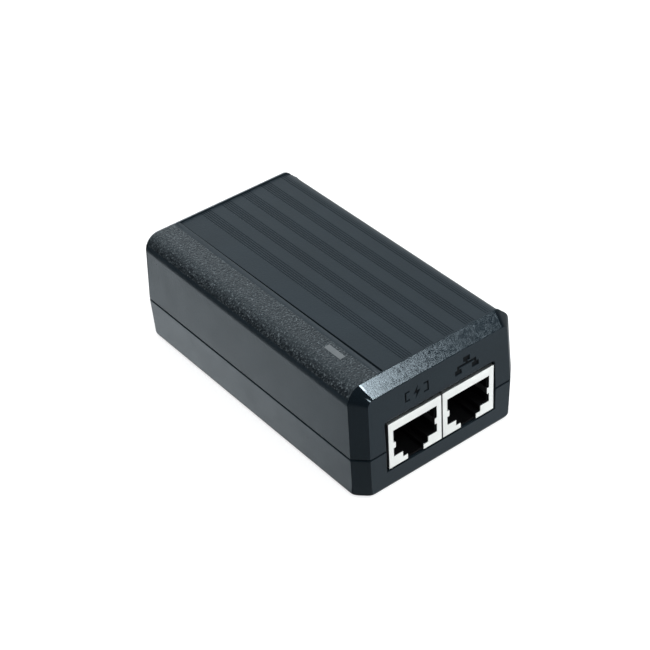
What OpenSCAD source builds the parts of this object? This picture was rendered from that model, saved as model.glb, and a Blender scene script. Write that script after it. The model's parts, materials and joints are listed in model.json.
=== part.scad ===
// Power over Ethernet injector: a two-part moulded case around a mains power supply,
// with a mains inlet at the back and two shielded network sockets at the front.
// Front is -Y, back is +Y, the case stands on z = 0 and is centred on x = 0, y = 0.

/* [Case] */
// Width of the case at the seam
case_w = 50.2; // [48:0.1:54]
// Length of the case at the seam
case_l = 87.6; // [86:0.1:92]
// Height of the case
case_h = 31.4; // [31:0.1:34]
// Height of the seam between the two shells
seam_z = 12.1; // [11:0.1:14]
// Open shadow gap between the shells
seam_gap = 0.3; // [0.1:0.05:0.5]
// Wall thickness of both shells
wall = 2.2; // [1.8:0.1:2.4]
// Thickness of the bottom of the case
floor_t = 2.0; // [1.6:0.1:2.4]

/* [Case drafts and edges] */
// Inward lean of the upper side walls, in degrees
side_draft = 2.1; // [1:0.1:3]
// Inward lean of the upper front wall, in degrees
front_draft = 2.7; // [1:0.1:3]
// Inward lean of the upper rear wall, in degrees
rear_draft = 2.1; // [1:0.1:3]
// Inward lean of every wall below the seam, in degrees
lower_draft = 1.5; // [0.5:0.1:3]
// Radius of the two long top edges
top_edge_r = 4.4; // [4:0.1:5]
// Radius of the edges around the base
base_edge_r = 1.4; // [1:0.1:2]
// Radius of the top edge above the inlet
rear_edge_r = 1.2; // [0.6:0.1:2]
// Leg of the bevels down the two front corners
corner_leg = 3.25; // [2.5:0.05:3.5]
// Depth of the bevel along the front top edge, front to back
brow_leg_y = 3.48; // [2.5:0.02:4]
// Height of the bevel along the front top edge
brow_leg_z = 2.63; // [2:0.01:3]
// Radius of the front wall's two upper corners
shoulder_r = 1.8; // [1:0.1:3]
// Leg of the bevels down the two rear corners
rear_corner_leg = 1.1; // [0.6:0.1:2]

/* [Grip panel] */
// Left edge of the sunk panel that wraps over the right side
panel_left = -13.6; // [-14:0.1:-10]
// Depth of the sunk panel
panel_depth = 0.4; // [0.2:0.05:0.6]
// Radius of the panel's surface where it turns down the right side
panel_edge_r = 4.8; // [4.4:0.1:5.2]
// Width of the rim left in front of the panel
panel_front_rim = 0.4; // [0.3:0.1:2]
// Width of the rim left behind the panel
panel_rear_rim = 1.3; // [1.3:0.1:3]
// Height at which the panel ends on the right side
panel_low_z = 15; // [13:0.5:20]
// Number of groups of grooves
groove_groups = 5; // [1:1:5]
// Grooves in a group
grooves_per_group = 5; // [3:1:7]
// Distance between grooves
groove_pitch = 0.65; // [0.5:0.01:0.8]
// Distance between groups
group_pitch = 6.42; // [5.5:0.01:6.5]
// Middle of the first group
first_group_x = -5.8; // [-7:0.1:-5]
// Width of a groove
groove_w = 0.3; // [0.2:0.05:0.4]
// Depth of a groove
groove_d = 0.2; // [0.1:0.05:0.3]

/* [Sockets] */
// Width of one network socket
jack_w = 16.1; // [15.6:0.1:16.3]
// Height of one network socket
jack_h = 13.46; // [13:0.02:13.8]
// Length of one network socket, front to back
jack_l = 21; // [18:0.5:22]
// Distance between the middles of the two sockets
jack_pitch = 16.5; // [16.4:0.05:17]
// Gap between the sockets and the edge of their window in the case
window_gap = 0.6; // [0.3:0.1:0.8]
// Sheet thickness of the socket shields
shield_t = 0.3; // [0.2:0.05:0.4]
// Width of the plug opening in the shield
mouth_w = 13.2; // [12.6:0.1:13.6]
// Floor of the plug opening above the socket's base
mouth_low = 3.1; // [2.8:0.1:3.4]
// Ceiling of the plug opening above the socket's base
mouth_top = 10.95; // [10:0.05:11.2]
// Width of the shoulder step for the plug's latch
shoulder_w = 7.7; // [7:0.1:8]
// Height of the shoulder step above the socket's base
shoulder_z = 1.45; // [1.2:0.05:1.8]
// Width of the slot for the plug's latch
latch_w = 4.8; // [4:0.1:5]
// Width of the space that takes the plug
plug_w = 12.0; // [11.8:0.1:12.2]
// Depth of the space that takes the plug
plug_l = 13.8; // [13:0.1:15]

/* [Contacts] */
// Contacts in each socket
contact_count = 8; // [4:2:8]
// Distance between contacts
contact_pitch = 1.27; // [1.2:0.01:1.3]
// Width of a contact wire
contact_w = 0.46; // [0.3:0.02:0.5]
// Thickness of a contact wire
contact_t = 0.34; // [0.25:0.01:0.4]
// Distance of the contacts' bend behind the socket's front
bend_y = 4.2; // [4:0.1:5]
// Height of the contacts' bend above the socket's base
bend_z = 11.8; // [11.5:0.1:12]
// Length of the free arm of a contact
arm_l = 9.4; // [8:0.1:9.6]
// Downward slope of the free arms at rest, in degrees
arm_slope = 22; // [18:0.5:24]

/* [Mains inlet] */
// Width of the inlet's body
inlet_w = 27.0; // [26:0.1:28]
// Height of the inlet's body
inlet_h = 19.8; // [19:0.1:20.5]
// Length of the inlet's body, front to back
inlet_l = 18.8; // [17:0.1:20]
// Width of the inlet's hollow
hollow_w = 24.0; // [23.6:0.1:24.4]
// Height of the inlet's hollow
hollow_h = 16.4; // [16:0.1:16.6]
// Depth of the inlet's hollow
hollow_l = 16.5; // [15:0.1:17]
// Leg of the two cut corners of the hollow
hollow_cut = 4.6; // [4:0.1:5]
// Distance between the line and neutral pins
pin_pitch = 14; // [13.8:0.1:14.2]
// Height of the earth pin above the other two
earth_rise = 4; // [3.8:0.1:4.2]
// Width of a pin
pin_w = 2; // [1.8:0.1:2.2]
// Height of a pin
pin_h = 4; // [3.8:0.1:4.2]

/* [Circuit board] */
// Width of the board
board_w = 43; // [41:0.5:43]
// Thickness of the board
board_t = 1.6; // [1:0.2:1.6]
// Height of the board's top face
board_top = 6.3; // [6.2:0.1:6.5]
// Front end of the board
board_front = -41.2; // [-41.3:0.1:-40]
// Rear end of the board
board_rear = 24.1; // [22:0.1:24.2]

/* [Case screws] */
// Distance of the screws from the middle of the case, across
screw_x = 19.8; // [19.6:0.1:20]
// Distance of the front screws from the middle of the case
screw_front_y = 36; // [35:0.5:37]
// Distance of the rear screws from the middle of the case
screw_rear_y = 38; // [36:0.5:38.5]
// Radius of a screw's shank
screw_r = 1.3; // [1.1:0.1:1.5]
// Radius of a screw's head
screw_head_r = 2.4; // [2.2:0.1:2.6]

/* [Light pipe] */
// Middle of the light window across the case
pipe_x = -17.25; // [-18:0.05:-17.2]
// Middle of the light window along the case
pipe_y = -26.4; // [-30:0.1:-20]
// Width of the light window
pipe_w = 1.7; // [1.2:0.1:1.7]
// Length of the light window
pipe_l = 6.1; // [4:0.1:8]

/* [Hidden] */

$fn = 64;
eps = 0.01;
far = 200;

half_w = case_w / 2;
half_l = case_l / 2;
upper_h = case_h - seam_z;

poe_x = -jack_pitch / 2;
lan_x = jack_pitch / 2;
front_y = -half_l;

window_w = jack_pitch + jack_w + 2 * window_gap;
window_low = board_top - window_gap - 0.1;
window_top = board_top + jack_h + window_gap;

inlet_z = 15.7;
inlet_rear = half_l - 0.6;
inlet_front = inlet_rear - inlet_l;
pin_z = inlet_z - earth_rise / 2;
earth_z = inlet_z + earth_rise / 2;

boss_r = 2.6;
boss_split_z = 9;
screw_tip_z = 15;
counterbore_r = screw_head_r + 0.4;
counterbore_z = 3;

label_w = 30;
label_l = 46;
label_t = 0.15;
label_recess = 0.3;

// Half width of the case's outline at height z, before its edges are rounded
function side_x(z) = half_w - (z > seam_z ? tan(side_draft) * (z - seam_z) : tan(lower_draft) * (seam_z - z));
// Front wall's position at height z
function wall_front_y(z) = front_y
    + (z > seam_z ? tan(front_draft) * (z - seam_z) : tan(lower_draft) * (seam_z - z));
// Middle of a circle of radius r that touches a wall leaning by draft and a level face
function touch_x(x_at_level, draft, r) = x_at_level + tan(draft) * r - r / cos(draft);

brow_y = wall_front_y(case_h) + brow_leg_y;
panel_front = brow_y + panel_front_rim;
panel_rear = half_l - tan(rear_draft) * upper_h - panel_rear_rim;

panel_turn_x = touch_x(side_x(case_h) - panel_depth, side_draft, panel_edge_r);
// Height of the sunk panel's surface at x
function panel_z(x) = case_h - panel_depth - panel_edge_r
    + (x < panel_turn_x ? panel_edge_r : sqrt(pow(panel_edge_r, 2) - pow(x - panel_turn_x, 2)));

// Outline with leaning sides, rounded where the sides meet the top and the base.
// a_* is the left or front side and b_* the right or rear side; reach is taken at the seam.
module leaning_outline(a_reach, b_reach, a_draft, b_draft, a_top_r, b_top_r, base_r, low_z, top_z) {
    a_top = a_reach - tan(a_draft) * (top_z - seam_z);
    b_top = b_reach - tan(b_draft) * (top_z - seam_z);
    a_low = a_reach - tan(lower_draft) * (seam_z - low_z);
    b_low = b_reach - tan(lower_draft) * (seam_z - low_z);
    a_top_x = touch_x(a_top, a_draft, a_top_r);
    b_top_x = touch_x(b_top, b_draft, b_top_r);
    a_low_x = touch_x(a_low, lower_draft, base_r);
    b_low_x = touch_x(b_low, lower_draft, base_r);
    polygon([
        [-a_low_x, low_z],
        [b_low_x, low_z],
        [b_low_x + base_r * cos(lower_draft), low_z + base_r * (1 - sin(lower_draft))],
        [b_reach, seam_z],
        [b_top_x + b_top_r * cos(b_draft), top_z - b_top_r * (1 - sin(b_draft))],
        [b_top_x, top_z],
        [-a_top_x, top_z],
        [-a_top_x - a_top_r * cos(a_draft), top_z - a_top_r * (1 - sin(a_draft))],
        [-a_reach, seam_z],
        [-a_low_x - base_r * cos(lower_draft), low_z + base_r * (1 - sin(lower_draft))]
    ]);
    translate([-a_top_x, top_z - a_top_r]) circle(a_top_r);
    translate([b_top_x, top_z - b_top_r]) circle(b_top_r);
    translate([-a_low_x, low_z + base_r]) circle(base_r);
    translate([b_low_x, low_z + base_r]) circle(base_r);
}

// Case cross-section seen from the front, shrunk by inset
module case_section(inset, edge_r) {
    leaning_outline(half_w - inset, half_w - inset, side_draft, side_draft,
                    edge_r, edge_r, base_edge_r, min(inset, floor_t), case_h - inset);
}

// Case cross-section seen from the side, shrunk by inset, with the bevel above the sockets
module case_side(inset) {
    low_z = min(inset, floor_t);
    difference() {
        leaning_outline(half_l - inset, half_l - inset, front_draft, rear_draft,
                        rear_edge_r, rear_edge_r, base_edge_r, low_z, case_h - inset);
        polygon([
            [brow_y + eps * brow_leg_y, case_h - inset + eps * brow_leg_z],
            [brow_y - 1.5 * brow_leg_y, case_h - inset - 1.5 * brow_leg_z],
            [brow_y - 1.5 * brow_leg_y, case_h + 1],
            [brow_y + eps * brow_leg_y, case_h + 1]
        ]);
    }
}

// Everything outside a flat cut across a vertical corner: turn points at the corner,
// reach is the cut's distance from the middle axis at the seam
module corner_cut(turn, reach, lean_up) {
    rotate([0, 0, turn]) rotate([90, 0, 0]) linear_extrude(far, center = true) polygon([
        [reach - tan(lower_draft) * sqrt(2) * (seam_z + 1), -1],
        [reach, seam_z],
        [reach - lean_up * (upper_h + 1), case_h + 1],
        [far, case_h + 1],
        [far, -1]
    ]);
}

// Everything outside the cone that joins a front corner bevel to the bevel along the top
module shoulder_cut() {
    x = touch_x(side_x(case_h), side_draft, top_edge_r);
    taper = (top_edge_r - shoulder_r) / brow_leg_y;
    back = 2;
    length = back + brow_leg_y + 1;
    turn = 10;
    translate([x, brow_y, case_h - top_edge_r]) rotate([0, 0, -turn]) difference() {
        translate([0, 1 - far / 2, 0]) cube([far, far / 2, far]);
        rotate([90, 0, 0]) translate([0, 0, -back])
            cylinder(r1 = top_edge_r + taper * back, r2 = top_edge_r - taper * (length - back), h = length);
    }
}

// The closed shape of the case, shrunk by inset
module case_solid(inset) {
    front_lean = (tan(side_draft) + tan(front_draft)) / sqrt(2);
    rear_lean = (tan(side_draft) + tan(rear_draft)) / sqrt(2);
    front_reach = (half_w + half_l - corner_leg) / sqrt(2) - inset;
    rear_reach = (half_w + half_l - rear_corner_leg) / sqrt(2) - inset;
    difference() {
        intersection() {
            rotate([90, 0, 0]) linear_extrude(far, center = true) case_section(inset, top_edge_r - inset);
            rotate([90, 0, 90]) linear_extrude(far, center = true) case_side(inset);
        }
        for (turn = [-45, -135]) corner_cut(turn, front_reach, front_lean);
        for (turn = [45, 135]) corner_cut(turn, rear_reach, rear_lean);
        if (inset == 0) {
            for (side = [0, 1]) mirror([side, 0, 0]) shoulder_cut();
        }
    }
}

// Block across the whole case between two heights
module slab(low_z, high_z) {
    translate([-far / 2, -far / 2, low_z]) cube([far, far, high_z - low_z]);
}

// Sunk, grooved panel: everything that is taken off the case for it
module panel_cut() {
    difference() {
        translate([panel_left, panel_front, panel_low_z])
            cube([far, panel_rear - panel_front, far]);
        rotate([90, 0, 0]) linear_extrude(far, center = true) case_section(panel_depth, panel_edge_r);
    }
    for (group = [0 : groove_groups - 1]) {
        for (i = [0 : grooves_per_group - 1]) {
            x = first_group_x + group * group_pitch + (i - (grooves_per_group - 1) / 2) * groove_pitch;
            translate([x - groove_w / 2, panel_front, panel_z(x) - groove_d])
                cube([groove_w, panel_rear - panel_front, 1]);
        }
    }
}

// Puts its children flat on the leaning front wall at x, z, with +Z pointing out
module on_front_wall(x, z) {
    translate([x, wall_front_y(z), z]) rotate([90 - front_draft, 0, 0]) children();
}

// Sunk symbol for power: a spark between two brackets
module power_symbol() {
    polygon([[0.5, 1.9], [-1.1, -0.35], [-0.1, -0.35], [-0.5, -1.9], [1.1, 0.35], [0.1, 0.35]]);
    for (side = [0, 1]) mirror([side, 0]) {
        translate([3.15, -1.4]) square([0.45, 2.8]);
        for (z = [-1.4, 0.95]) translate([2.1, z]) square([1.06, 0.45]);
    }
}

// Sunk symbol for a network: one box joined to two others
module network_symbol() {
    box_w = 1.7;
    translate([-box_w / 2, 0.5]) square([box_w, 1.4]);
    translate([-0.22, 0.19]) square([0.44, 0.32]);
    translate([-3, -0.2]) square([6, 0.4]);
    for (side = [0, 1]) mirror([side, 0]) {
        translate([2.55, -0.41]) square([0.45, 0.22]);
        translate([1.95, -1.8]) square([box_w, 1.4]);
    }
}

// Openings in both shells for the sockets and the mains inlet
module end_windows() {
    translate([-window_w / 2, front_y - 1, window_low])
        cube([window_w, wall + 8, window_top - window_low]);
    translate([-inlet_w / 2 - 0.1, half_l - wall - 8, inlet_z - inlet_h / 2 - 0.1])
        cube([inlet_w + 0.2, wall + 9, inlet_h + 0.2]);
}

// Repeats its children at the four case screws
module at_screws() {
    for (side = [-1, 1]) {
        translate([side * screw_x, -screw_front_y, 0]) children();
        translate([side * screw_x, screw_rear_y, 0]) children();
    }
}

// Upper shell with the grooved grip panel, the sunk symbols and the screw bosses
module top_shell() {
    tongue_t = 0.9;
    tongue_clearance = 0.1;
    tongue_inset = wall + tongue_clearance;
    tongue_l = 1.6;
    symbol_d = 0.3;
    symbol_left_x = poe_x + 1.2;
    symbol_z = 24.3;
    color("#2b3036") difference() {
        union() {
            difference() {
                case_solid(0);
                case_solid(wall);
                slab(-1, seam_z + seam_gap / 2);
                panel_cut();
            }
            intersection() {
                case_solid(wall - 0.2);
                difference() {
                    slab(seam_z + seam_gap / 2, seam_z + tongue_l);
                    case_solid(tongue_inset + tongue_t);
                }
            }
            intersection() {
                difference() {
                    case_solid(tongue_inset);
                    case_solid(tongue_inset + tongue_t);
                }
                slab(seam_z - tongue_l, seam_z + tongue_l);
            }
            intersection() {
                case_solid(wall - 0.2);
                at_screws() translate([0, 0, boss_split_z]) cylinder(r = boss_r, h = case_h);
            }
        }
        end_windows();
        at_screws() translate([0, 0, boss_split_z - 1])
            cylinder(r = screw_r + 0.02, h = screw_tip_z - boss_split_z + 2);
        translate([pipe_x - pipe_w / 2, pipe_y - pipe_l / 2, case_h - wall - 1])
            cube([pipe_w, pipe_l, wall + 2]);
        on_front_wall(symbol_left_x, symbol_z) translate([0, 0, -symbol_d]) linear_extrude(2) power_symbol();
        on_front_wall(lan_x, symbol_z) translate([0, 0, -symbol_d]) linear_extrude(2) network_symbol();
    }
}

// Lower shell with the board's supports, the inlet's cradle and the screw holes
module bottom_shell() {
    support_r = 2;
    cradle_t = 2;
    color("#33383e") difference() {
        union() {
            difference() {
                case_solid(0);
                case_solid(wall);
                slab(seam_z - seam_gap / 2, case_h + 1);
            }
            for (x = [-18, 18], y = [-18, 8]) {
                translate([x, y, floor_t - eps])
                    cylinder(r = support_r, h = board_top - board_t - floor_t + eps);
            }
            for (y = [28, 37]) {
                translate([-inlet_w / 2, y, floor_t - eps])
                    cube([inlet_w, cradle_t, inlet_z - inlet_h / 2 - floor_t + eps]);
            }
            intersection() {
                case_solid(0.5);
                at_screws() cylinder(r = boss_r + 0.6, h = boss_split_z);
            }
        }
        end_windows();
        at_screws() {
            translate([0, 0, -1]) cylinder(r = counterbore_r, h = counterbore_z + 1);
            translate([0, 0, -1]) cylinder(r = screw_r + 0.2, h = boss_split_z + 2);
        }
        translate([-label_w / 2, -label_l / 2, -1]) cube([label_w, label_l, label_recess + 1]);
    }
}

// Clear window in the top of the case, with a stem that reaches down to the indicator
module light_pipe() {
    flange_t = 0.8;
    stem_l = 3;
    led_top = board_top + 1.6;
    ceiling = case_h - wall;
    color("#b9bfc4", 0.8) translate([pipe_x, pipe_y, 0]) {
        translate([-pipe_w / 2 + eps, -pipe_l / 2 + eps, ceiling - flange_t])
            cube([pipe_w - 2 * eps, pipe_l - 2 * eps, wall + flange_t]);
        translate([-pipe_w / 2 - 1, -pipe_l / 2 - 1, ceiling - flange_t])
            cube([pipe_w + 2, pipe_l + 2, flange_t - eps]);
        translate([-pipe_w / 2 + 0.1, -stem_l / 2, led_top])
            cube([pipe_w - 0.4, stem_l, ceiling - led_top]);
    }
}

// Four self-tapping screws with a cross recess, put in from below
module case_screws() {
    head_t = 1.6;
    cross_l = 2.6;
    cross_w = 0.7;
    color("#8f949a") at_screws() difference() {
        union() {
            translate([0, 0, counterbore_z - head_t]) cylinder(r = screw_head_r, h = head_t);
            translate([0, 0, counterbore_z - eps]) cylinder(r = screw_r, h = screw_tip_z - counterbore_z);
        }
        for (turn = [0, 90]) {
            rotate([0, 0, turn]) translate([-cross_l / 2, -cross_w / 2, counterbore_z - head_t - 1])
                cube([cross_l, cross_w, 2]);
        }
    }
}

// Blank rating label in its shallow recess under the case
module rating_label() {
    margin = 0.4;
    color("#c9ccce") translate([-label_w / 2 + margin, -label_l / 2 + margin, label_recess - label_t])
        cube([label_w - 2 * margin, label_l - 2 * margin, label_t]);
}

// Circuit board, narrower between the two front screw bosses
module main_board() {
    neck_w = 32.6;
    neck_y = -32;
    color("#2e6b46") translate([0, 0, board_top - board_t]) linear_extrude(board_t) union() {
        translate([-board_w / 2, neck_y]) square([board_w, board_rear - neck_y]);
        translate([-neck_w / 2, board_front]) square([neck_w, neck_y - board_front + eps]);
    }
}

// Puts its children at a socket: x across, y back from its front, z up from its base
module at_socket(x) {
    translate([x, front_y, board_top]) children();
}

// Stepped plug opening, seen from the front
module mouth() {
    translate([-mouth_w / 2, mouth_low]) square([mouth_w, mouth_top - mouth_low]);
    translate([-shoulder_w / 2, shoulder_z]) square([shoulder_w, mouth_low - shoulder_z + eps]);
    translate([-latch_w / 2, -1]) square([latch_w, shoulder_z + 1 + eps]);
}

// Folded metal shield with a spring finger on each side of the plug opening
module socket_shield() {
    finger_low = 5.6;
    finger_h = 1.75;
    finger_l = 6;
    finger_x = mouth_w / 2 - 0.65;
    difference() {
        translate([-jack_w / 2, 0, 0]) cube([jack_w, jack_l, jack_h]);
        translate([-jack_w / 2 + shield_t, shield_t, -1])
            cube([jack_w - 2 * shield_t, jack_l - 2 * shield_t, jack_h - shield_t + 1]);
        translate([0, shield_t + 1, 0]) rotate([90, 0, 0]) linear_extrude(shield_t + 2) mouth();
    }
    for (side = [0, 1]) mirror([side, 0, 0]) translate([finger_x, 0, finger_low]) {
        cube([mouth_w / 2 - finger_x + eps, shield_t, finger_h]);
        cube([shield_t, finger_l, finger_h]);
    }
}

// Moulded insert that guides the plug and carries the contacts
module socket_insert() {
    side_gap = 0.05;
    insert_w = jack_w - 2 * shield_t - 2 * side_gap;
    insert_l = 18.4;
    insert_top = jack_h - shield_t - 0.15;
    comb_w = contact_count * contact_pitch + 0.4;
    comb_y = bend_y - 0.9;
    comb_low = 7.6;
    run_z = bend_z + 0.2;
    finger_x = mouth_w / 2 - 0.75;
    latch_floor = 0.5;
    difference() {
        translate([-insert_w / 2, shield_t + side_gap, side_gap]) cube([insert_w, insert_l, insert_top]);
        translate([-plug_w / 2, -1, mouth_low + 0.2]) cube([plug_w, plug_l + 1, mouth_top - mouth_low - 0.4]);
        translate([-shoulder_w / 2 + 0.2, -1, shoulder_z + 0.2])
            cube([shoulder_w - 0.4, plug_l + 1, mouth_low]);
        translate([-latch_w / 2 + 0.2, -1, latch_floor]) cube([latch_w - 0.4, plug_l + 1, mouth_low]);
        translate([-comb_w / 2, comb_y, comb_low]) cube([comb_w, plug_l + 1.6 - comb_y, jack_h]);
        translate([-comb_w / 2, comb_y, run_z]) cube([comb_w, jack_l, jack_h]);
        for (side = [0, 1]) mirror([side, 0, 0]) {
            translate([finger_x, -1, 5.3]) cube([1.2, 8.4, 2.3]);
        }
    }
}

// Repeats its children across a socket, once for each contact
module at_contacts() {
    for (i = [0 : contact_count - 1]) {
        translate([(i - (contact_count - 1) / 2) * contact_pitch, 0, 0]) children();
    }
}

// Sprung arms of the contacts, free at the back and turning about their front bend
module contact_springs() {
    at_contacts() translate([0, bend_y, bend_z]) {
        rotate([0, 90, 0]) cylinder(r = contact_t * 0.7, h = contact_w, center = true);
        rotate([-arm_slope, 0, 0]) translate([-contact_w / 2, 0, -contact_t / 2])
            cube([contact_w, arm_l, contact_t]);
    }
}

// Fixed part of the contacts: a run along the top of the insert and a tail down to the board
module contact_tails() {
    run_gap = 0.2;
    run_z = bend_z + contact_t * 0.7 + run_gap;
    tail_y = shield_t + 19.2;
    at_contacts() {
        translate([-contact_w / 2, bend_y, run_z]) cube([contact_w, tail_y - bend_y, contact_t]);
        translate([-contact_w / 2, tail_y - contact_t, 0]) cube([contact_w, contact_t, run_z + contact_t]);
    }
}

module poe_socket_shield() { color("#cfd2d4") at_socket(poe_x) socket_shield(); }
module lan_socket_shield() { color("#cfd2d4") at_socket(lan_x) socket_shield(); }
module poe_socket_insert() { color("#141414") at_socket(poe_x) socket_insert(); }
module lan_socket_insert() { color("#141414") at_socket(lan_x) socket_insert(); }
module poe_contact_springs() { color("#c9a24a") at_socket(poe_x) contact_springs(); }
module lan_contact_springs() { color("#c9a24a") at_socket(lan_x) contact_springs(); }
module poe_contact_tails() { color("#b8913f") at_socket(poe_x) contact_tails(); }
module lan_contact_tails() { color("#b8913f") at_socket(lan_x) contact_tails(); }

// Outline of the inlet's hollow, with its two upper corners cut off
module hollow_outline() {
    polygon([
        [-hollow_w / 2, -hollow_h / 2],
        [hollow_w / 2, -hollow_h / 2],
        [hollow_w / 2, hollow_h / 2 - hollow_cut],
        [hollow_w / 2 - hollow_cut, hollow_h / 2],
        [-hollow_w / 2 + hollow_cut, hollow_h / 2],
        [-hollow_w / 2, hollow_h / 2 - hollow_cut]
    ]);
}

// Mains inlet body, with slots for its three pins
module inlet_housing() {
    slot_gap = 0.02;
    color("#17181a") difference() {
        translate([-inlet_w / 2, inlet_front, inlet_z - inlet_h / 2]) cube([inlet_w, inlet_l, inlet_h]);
        translate([0, inlet_rear + 1, inlet_z]) rotate([90, 0, 0])
            linear_extrude(hollow_l + 1) hollow_outline();
        for (p = [[-pin_pitch / 2, pin_z], [pin_pitch / 2, pin_z], [0, earth_z]]) {
            translate([p[0] - pin_w / 2 - slot_gap, inlet_front - 1, p[1] - pin_h / 2 - slot_gap])
                cube([pin_w + 2 * slot_gap, inlet_l, pin_h + 2 * slot_gap]);
        }
    }
}

// Flat inlet pin with a leg down to the board; tip_gap is its distance inside the rim
module inlet_pin(x, z, tip_gap) {
    leg_t = 1.2;
    leg_y = inlet_front - 2.2;
    bevel = 0.5;
    color("#b9b2a0") {
        translate([x, leg_y, z]) rotate([90, 0, 90]) linear_extrude(pin_w, center = true) polygon([
            [0, -pin_h / 2],
            [inlet_rear - tip_gap - leg_y - bevel, -pin_h / 2],
            [inlet_rear - tip_gap - leg_y, -pin_h / 2 + bevel],
            [inlet_rear - tip_gap - leg_y, pin_h / 2 - bevel],
            [inlet_rear - tip_gap - leg_y - bevel, pin_h / 2],
            [0, pin_h / 2]
        ]);
        translate([x - pin_w / 2, leg_y, board_top]) cube([pin_w, leg_t, z - board_top]);
    }
}

module line_pin() { inlet_pin(-pin_pitch / 2, pin_z, 3.4); }
module neutral_pin() { inlet_pin(pin_pitch / 2, pin_z, 3.4); }
module earth_pin() { inlet_pin(0, earth_z, 2.6); }

// Puts its children on the board at x, y
module on_board(x, y) {
    translate([x, y, board_top]) children();
}

// Round wire lead standing on the board
module lead(x, y, h) {
    lead_r = 0.35;
    translate([x, y, 0]) cylinder(r = lead_r, h = h);
}

// Can capacitor with a rolled groove near its foot and a sunk vent disc on top
module can_capacitor(r, h) {
    groove_z = 2.4;
    groove_r = 0.6;
    difference() {
        cylinder(r = r, h = h);
        translate([0, 0, groove_z]) rotate_extrude() translate([r + 0.2, 0]) circle(groove_r);
        translate([0, 0, h - 0.4]) cylinder(r = r * 0.75, h = 1);
    }
}

// Chip package with a row of bent legs on each long side
module chip(body_w, body_l, body_h, legs) {
    leg_pitch = 2.54;
    leg_w = 0.5;
    leg_t = 0.4;
    stand = 0.6;
    translate([-body_w / 2, -body_l / 2, stand]) cube([body_w, body_l, body_h]);
    for (side = [-1, 1], i = [0 : legs - 1]) {
        translate([side * (body_w / 2 + leg_t) - leg_t / 2, (i - (legs - 1) / 2) * leg_pitch - leg_w / 2, 0])
            cube([leg_t, leg_w, stand + body_h / 2]);
        translate([side * (body_w / 2 + leg_t / 2) - leg_t, (i - (legs - 1) / 2) * leg_pitch - leg_w / 2,
                   stand + body_h / 2 - leg_t])
            cube([2 * leg_t, leg_w, leg_t]);
    }
}

// Boxed fuse on two leads
module fuse() {
    color("#e8e4d8") on_board(-15.5, 21.2) {
        translate([-4.25, -2, 1]) cube([8.5, 4, 7]);
        for (x = [-2.5, 2.5]) lead(x, 0, 1 + eps);
    }
}

// Surge-protection disc on two leads
module varistor() {
    color("#2f5fa8") on_board(13, 22.1) {
        translate([0, 0, 6.5]) rotate([90, 0, 0]) cylinder(r = 4.5, h = 3, center = true);
        for (x = [-2.5, 2.5]) lead(x, 0, 3.2);
    }
}

// Box capacitor across the mains
module x_capacitor() {
    color("#d9b23c") on_board(17.6, 13.3) {
        translate([-3, -6.5, 0.5]) cube([6, 13, 12]);
        for (y = [-5, 5]) lead(0, y, 0.5 + eps);
    }
}

choke_x = 4.6;
choke_y = 13.6;
choke_z = 4.4;
choke_core_r = 5;
choke_core_w = 2.2;
choke_core_h = 4.4;

// Ferrite ring of the mains filter choke, lying flat above the board
module choke_core() {
    color("#3f6b4f") on_board(choke_x, choke_y) translate([0, 0, choke_z]) difference() {
        cylinder(r = choke_core_r + choke_core_w / 2, h = choke_core_h, center = true);
        cylinder(r = choke_core_r - choke_core_w / 2, h = choke_core_h + 1, center = true);
    }
}

// Two copper windings around the choke's ring, each with two leads
module choke_windings() {
    coil_t = 0.9;
    gap = 0.05;
    sweep = 130;
    color("#b87333") on_board(choke_x, choke_y) {
        for (turn = [-sweep / 2, 180 - sweep / 2]) {
            translate([0, 0, choke_z]) rotate([0, 0, turn]) rotate_extrude(angle = sweep) difference() {
                translate([choke_core_r, 0])
                    square([choke_core_w + 2 * coil_t, choke_core_h + 2 * coil_t], center = true);
                translate([choke_core_r, 0])
                    square([choke_core_w + 2 * gap, choke_core_h + 2 * gap], center = true);
            }
            for (end = [8, sweep - 8]) rotate([0, 0, turn + end]) {
                lead(choke_core_r, 0, choke_z - choke_core_h / 2 - coil_t / 2);
            }
        }
    }
}

// Bridge rectifier in a four-legged package
module bridge_rectifier() {
    color("#202224") on_board(-5.3, 16.2) chip(4.6, 8.4, 3.1, 2);
}

// Tall mains storage capacitor
module bulk_capacitor() {
    color("#1d2733") on_board(-14.9, 12) can_capacitor(6.2, 20.5);
}

heatsink_x = 20;
heatsink_y = -3;
heatsink_l = 17;
transistor_hole_h = 14.4;
transistor_screw_r = 1.5;

// Upright aluminium plate that cools the switching transistor, folded over at the top
module heatsink() {
    plate_t = 1.6;
    plate_h = 19;
    fold_l = 5;
    color("#b4b8bc") on_board(heatsink_x, heatsink_y) difference() {
        union() {
            translate([-plate_t / 2, -heatsink_l / 2, 0]) cube([plate_t, heatsink_l, plate_h]);
            translate([-fold_l, -heatsink_l / 2, plate_h - plate_t]) cube([fold_l, heatsink_l, plate_t]);
        }
        translate([0, 0, transistor_hole_h]) rotate([0, 90, 0])
            cylinder(r = transistor_screw_r + 0.02, h = 10, center = true);
    }
}

// Switching transistor with its tab against the heatsink
module switching_transistor() {
    tab_t = 1.3;
    tab_x = heatsink_x - 0.8 - eps;
    color("#1b1c1e") on_board(tab_x, heatsink_y) difference() {
        union() {
            translate([-tab_t, -5, 3]) cube([tab_t, 10, 14.2]);
            translate([-4.4, -5, 3]) cube([3.2, 10, 8.6]);
            for (y = [-2.54, 0, 2.54]) translate([-2.8, y - 0.4, 0]) cube([0.5, 0.8, 3 + eps]);
        }
        translate([0, 0, transistor_hole_h]) rotate([0, 90, 0])
            cylinder(r = transistor_screw_r + 0.02, h = 10, center = true);
    }
}

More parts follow.
